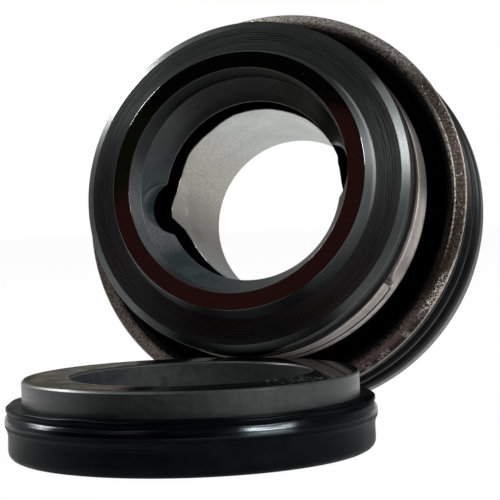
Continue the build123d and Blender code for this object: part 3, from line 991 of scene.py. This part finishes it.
def case_finish():
    """Drawn case with a coarse, stained flange, painted shade on its inside and on parts of the flange, and
    painted highlights and glints on its edges and top.
    """
    f = Finish("case_metal_rough")
    flange = f.span(f.radius, 21.1, 21.35)
    cloud = f.noise(0.5, 4, 0.6)
    grain = f.noise(3.6, 5, 0.7)
    speck = f.noise(9, 3, 0.6)
    f.base = f.mix(f.span(grain, 0.35, 0.7), (0.03, 0.021, 0.017), (0.15, 0.125, 0.115))
    f.paint((0.04, 0.03, 0.026), f.span(cloud, 0.45, 0.75, 0, 0.6))
    # Painted shade: the flange is painted darker on its right side.
    black = f.around(12, 30, 14)
    f.paint((0.014, 0.01, 0.008), black, 0.85)
    brown = f.times(f.around(308, 14, 10), f.span(f.radius, 21.7, 22.3))
    f.paint((0.02, 0.014, 0.012), brown, 0.75)
    # Painted light: the top of the flange is painted lighter.
    top = f.times(f.around(82, 32, 14), f.span(f.radius, 21.5, 22.2))
    f.paint((0.3, 0.275, 0.25), top, f.span(grain, 0.3, 0.65, 0.4, 1))
    # Painted glints: near-white specks, more of them on the lit top.
    painted_glints = f.choose(top, f.span(speck, 0.66, 0.72), f.span(speck, 0.56, 0.62))
    f.paint((0.92, 0.91, 0.88), painted_glints, flange)
    # Painted highlight on the flange's inner edge on the right.
    ledge = f.times(f.around(20, 14, 8), f.span(f.radius, 21.7, 21.45))
    f.paint((0.17, 0.155, 0.135), ledge, 0.5)
    # Painted shade on the inner part of the flange at the lower right.
    painted_shade_flange = f.times(f.around(341, 12, 6), f.span(f.radius, 22.35, 22.05))
    f.paint((0.018, 0.011, 0.008), painted_shade_flange, 0.85)
    # Pinkish tint, painted lighter as a highlight at the lower right.
    pink = f.times(f.around(308, 12, 8), f.band(f.radius, 21.65, 22.25, 0.12))
    f.paint((0.13, 0.082, 0.078), pink, 0.65)
    # Painted highlight along a ridge of the flange on the right.
    painted_ridge_highlight = f.times(f.band(f.radius, 21.55, 21.67, 0.07), f.around(4, 16, 12))
    f.paint((0.42, 0.38, 0.35), painted_ridge_highlight, f.span(grain, 0.42, 0.6, 0.1, 0.75))
    vein = f.vein(f.noise(3, 3, 0.6), 0.04, 0.015)
    nick = f.either(f.around(330, 5, 4), f.times(f.around(308, 12, 5), f.span(cloud, 0.46, 0.58), 0.6))
    nick = f.times(nick, f.band(f.radius, 21.95, 22.75, 0.15), vein)
    f.paint((0.95, 0.86, 0.82), nick)
    # Painted highlights along the flange's outer edge.
    painted_edge_highlight = f.times(f.band(f.radius, 22.64, 22.84, 0.05), f.around(334, 6, 5))
    painted_edge_highlight = f.either(painted_edge_highlight, f.times(f.band(f.radius, 22.77, 22.86, 0.04), f.around(310, 18, 6)))
    f.paint((0.72, 0.63, 0.58), painted_edge_highlight, 0.8)
    # Painted highlight: the outer edge is painted lighter all round.
    f.paint((0.34, 0.3, 0.28), f.span(f.radius, 22.6, 22.8), 0.5)
    # Painted shade: the inside of the case is painted near black.
    f.base = f.mix(flange, 0.002, f.base)
    relief = f.bump(grain, 0.55, 0.12, f.bump(speck, 0.4, 0.04))
    metallic = f.choose(flange, 0.6, 1)
    return f.done(metallic=metallic, roughness=f.vary(grain, 0.22, 0.38), normal=relief)


def metal_finish(name, dark, light, rough):
    """Plain cloudy metal of the hidden parts, from its darkest and lightest colour."""
    f = Finish(name)
    cloud = f.noise(3, 5, 0.65)
    f.base = f.mix(f.vary(cloud), dark, light)
    roughness = f.vary(cloud, rough, rough + 0.2)
    return f.done(metallic=1, roughness=roughness, normal=f.bump(cloud, 0.4, 0.08))


# ---- Stage
CAMERA_PLACE = (0.055256, -0.142979, 0.02245)
CAMERA_TURN = -18.795
CAMERA_DROP = 1.058
CAMERA_ROLL = -1.743
CAMERA_LENS = 111.328
CAMERA_SENSOR = 36.0
CAMERA_NEAR = 0.01

FLOOR_COLOUR = (0.8, 0.8, 0.79)
TABLE_COLOUR = (0.02, 0.02, 0.02)
PAPER_EDGE = (-0.031, -0.02)
PAPER_SLANT = 0.5
FLOOR_GLOW = 0.97
MIRROR_GLOW = 0.35
FLOOR_HALF = 3.0
FLOOR_DROP = 0.00002

WHITE = (1, 1, 1)
# Colours of the room behind and beside the object, by the height of the direction
ROOM = (
    (0.00, (0.55, 0.56, 0.56)),
    (0.19, (0.5, 0.51, 0.51)),
    (0.38, (0.38, 0.39, 0.39)),
    (0.62, (0.24, 0.24, 0.24)),
    (0.95, (0.11, 0.11, 0.11)),
)
STRIP_COLOUR = (0.085, 0.08, 0.06)
DARK_COLOUR = (0.004, 0.005, 0.005)
LAMP_COLOUR = (1.5, 1.5, 1.45)
RED_COLOUR = (0.136, 0.039, 0.035)
OLIVE_COLOUR = (0.024, 0.03, 0.012)
# Where they lie, as (direction, cosine of the angle to it at the outside, and where it's full)
BEHIND = ((-0.32, 0.95, 0), 0.8, 0.92)
DARK_SIDE = ((-0.238, -0.955, 0.18), 0.42, 0.73)
LAMP = ((-0.34, -0.25, 0.905), 0.955, 0.985)
OLIVE = ((-0.405, -0.815, 0.415), 0.99905, 0.99965)
# Heights of the direction over which the white card and the strip above it end
CARD_TOP = (0.08, 0.04)
STRIP_TOP = (0.17, 0.12)
# A dull red wall behind the camera, in degrees: its right edge leans, its top is level
RED_TURN = -25.93
RED_BASE = 23.07
RED_LEAN = 1.55
RED_TOP = 27.55
RED_SOFT = 0.15
RED_LEFT = (8.0, -6.0)
RED_FOOT = (2.0, 12.0)

# Softboxes, as (name, direction, distance, size, power)
LIT_PLACE = Vector((0, 0.015, 0.02))
SOFTBOXES = (
    ("left_box", (-0.8, 0.1, 0.6), 0.5, (0.14, 0.11), 2.5),
    ("right_box", (0.76, -0.3, 0.5), 0.5, (0.15, 0.12), 2.8),
)


def build_camera():
    turn, drop, roll = (math.radians(a) for a in (CAMERA_TURN, CAMERA_DROP, CAMERA_ROLL))
    ahead = Vector((math.sin(turn) * math.cos(drop), math.cos(turn) * math.cos(drop), -math.sin(drop)))
    level = Vector((math.cos(turn), -math.sin(turn), 0))
    upright = level.cross(ahead)
    right = level * math.cos(roll) + upright * math.sin(roll)
    up = upright * math.cos(roll) - level * math.sin(roll)
    data = bpy.data.cameras.new("camera")
    data.lens = CAMERA_LENS
    data.sensor_width = CAMERA_SENSOR
    data.clip_start = CAMERA_NEAR
    camera = new_object("camera", data)
    axes = Matrix((right, up, -ahead)).transposed().to_4x4()
    camera.matrix_world = Matrix.Translation(CAMERA_PLACE) @ axes
    bpy.context.scene.camera = camera


class Stage(Nodes):
    """Node tree of the floor's material or of the world, built from nothing."""

    def __init__(self, block):
        super().__init__(block)
        self.tree.nodes.clear()

    def ramp(self, value, stops):
        """Colour of a ramp through stops given as (place, colour)."""
        made = self.node("ValToRGB", {0: value})
        elements = made.color_ramp.elements
        while len(elements) < len(stops):
            elements.new(0.5)
        for element, (place, colour) in zip(elements, stops):
            element.position = place
            element.color = (*colour, 1)
        return made.outputs[0]

    def seen_share(self):
        """1 for a camera ray; and 1 for a reflected or transmitted ray."""
        path = self.node("LightPath").outputs
        return path["Is Camera Ray"], self.either(path["Is Glossy Ray"], path["Is Transmission Ray"])


def build_floor():
    """Pale paper: white to the camera and to reflections, and still darkened by shadows.

    In front of the picture it ends on a dark table, which only reflections can show."""
    material = bpy.data.materials.new("floor_paper")
    stage = Stage(material)
    camera, mirrored = stage.seen_share()
    place = stage.node("NewGeometry").outputs["Position"]
    axes = stage.node("SeparateXYZ", {0: place}).outputs
    aside = stage.times(stage.math("ABSOLUTE", axes[0]), PAPER_SLANT)
    sheet = stage.span(stage.math("ADD", axes[1], aside), *PAPER_EDGE)
    glowing = stage.either(camera, stage.times(mirrored, sheet, MIRROR_GLOW))
    share = stage.times(glowing, FLOOR_GLOW)
    paper = stage.node("BsdfDiffuse", {"Color": stage.mix(sheet, TABLE_COLOUR, FLOOR_COLOUR)})
    white = stage.node("Emission", {"Color": WHITE})
    mix = stage.node("MixShader", {0: share, 1: paper.outputs[0], 2: white.outputs[0]})
    stage.node("OutputMaterial", {"Surface": mix.outputs[0]})
    mesh = bpy.data.meshes.new("floor")
    corners = [(x * FLOOR_HALF, y * FLOOR_HALF, 0) for x, y in ((-1, -1), (1, -1), (1, 1), (-1, 1))]
    mesh.from_pydata(corners, [], [(0, 1, 2, 3)])
    mesh.materials.append(material)
    floor = new_object("floor", mesh)
    floor.location.z = -FLOOR_DROP


def build_world():
    """A room: dark, with a red wall and an olive patch, on the camera's side; lit by a lamp above.

    A low white card stands behind the object, with a dull strip over it. The camera sees plain
    white everywhere, and reflections see the card and the room."""
    world = bpy.data.worlds.new("studio")
    bpy.context.scene.world = world
    stage = Stage(world)
    place = stage.node("TexCoord").outputs["Generated"]
    camera, mirrored = stage.seen_share()

    def toward(direction, outside, full):
        """1 in the given direction, falling to 0 away from it, by the cosine of the angle."""
        cosine = stage.node("VectorMath", {0: place, 1: direction}, operation="DOT_PRODUCT")
        return stage.span(cosine.outputs["Value"], outside, full)

    axes = stage.node("SeparateXYZ", {0: place}).outputs
    rise = stage.math("DEGREES", stage.math("ARCSINE", axes[2]))
    turn = stage.math("DEGREES", stage.math("ARCTAN2", axes[0], stage.times(axes[1], -1.0)))

    room = stage.ramp(axes[2], ROOM)
    behind = toward(*BEHIND)
    room = stage.mix(stage.times(stage.span(axes[2], *STRIP_TOP), behind), room, STRIP_COLOUR)
    room = stage.mix(toward(*DARK_SIDE), room, DARK_COLOUR)
    room = stage.mix(toward(*LAMP), room, LAMP_COLOUR)
    room = stage.mix(toward(*OLIVE), room, OLIVE_COLOUR)
    leaning = stage.math("DIVIDE", stage.minus(rise, RED_BASE), RED_LEAN)
    past = stage.minus(stage.minus(turn, RED_TURN), leaning)
    below = stage.minus(RED_TOP, rise)
    red = stage.span(stage.math("MINIMUM", past, below), -RED_SOFT, RED_SOFT)
    red = stage.times(red, stage.span(turn, *RED_LEFT), stage.span(rise, *RED_FOOT))
    room = stage.mix(red, room, RED_COLOUR)
    card = stage.times(stage.span(axes[2], *CARD_TOP), behind, mirrored)
    room = stage.mix(card, room, WHITE)
    seen = stage.node("Background", {"Color": WHITE})
    lit = stage.node("Background", {"Color": room})
    mix = stage.node("MixShader", {0: camera, 1: lit.outputs[0], 2: seen.outputs[0]})
    stage.node("OutputWorld", {"Surface": mix.outputs[0]})


def area_light(name, direction, distance, size, power):
    """Softbox looking at the object from the given direction."""
    data = bpy.data.lights.new(name, "AREA")
    data.shape = "RECTANGLE"
    data.size, data.size_y = size
    data.energy = power
    light = new_object(name, data)
    away = Vector(direction).normalized()
    light.location = LIT_PLACE + away * distance
    light.rotation_euler = away.to_track_quat("Z", "Y").to_euler()


def build_stage():
    build_camera()
    build_floor()
    build_world()
    for softbox in SOFTBOXES:
        area_light(*softbox)
    bpy.context.scene.view_settings.view_transform = "Standard"


build_stage()
build_seat_ring(seat_finish())
build_seat_boot(boot_finish())
build_face_ring(carbon_finish())
build_bellows(lip_finish())
build_clamp_band(band_finish())
build_case(case_finish())
build_jacket(jacket_finish())
build_sleeve(sleeve_finish())
guide_metal = metal_finish("guide_metal_pressed", 0.4, 0.55, 0.3)
for guide in GUIDES:
    build_guide(*guide, guide_metal)
build_spring(metal_finish("spring_wire_drawn", (0.35, 0.35, 0.36), 0.5, 0.25))
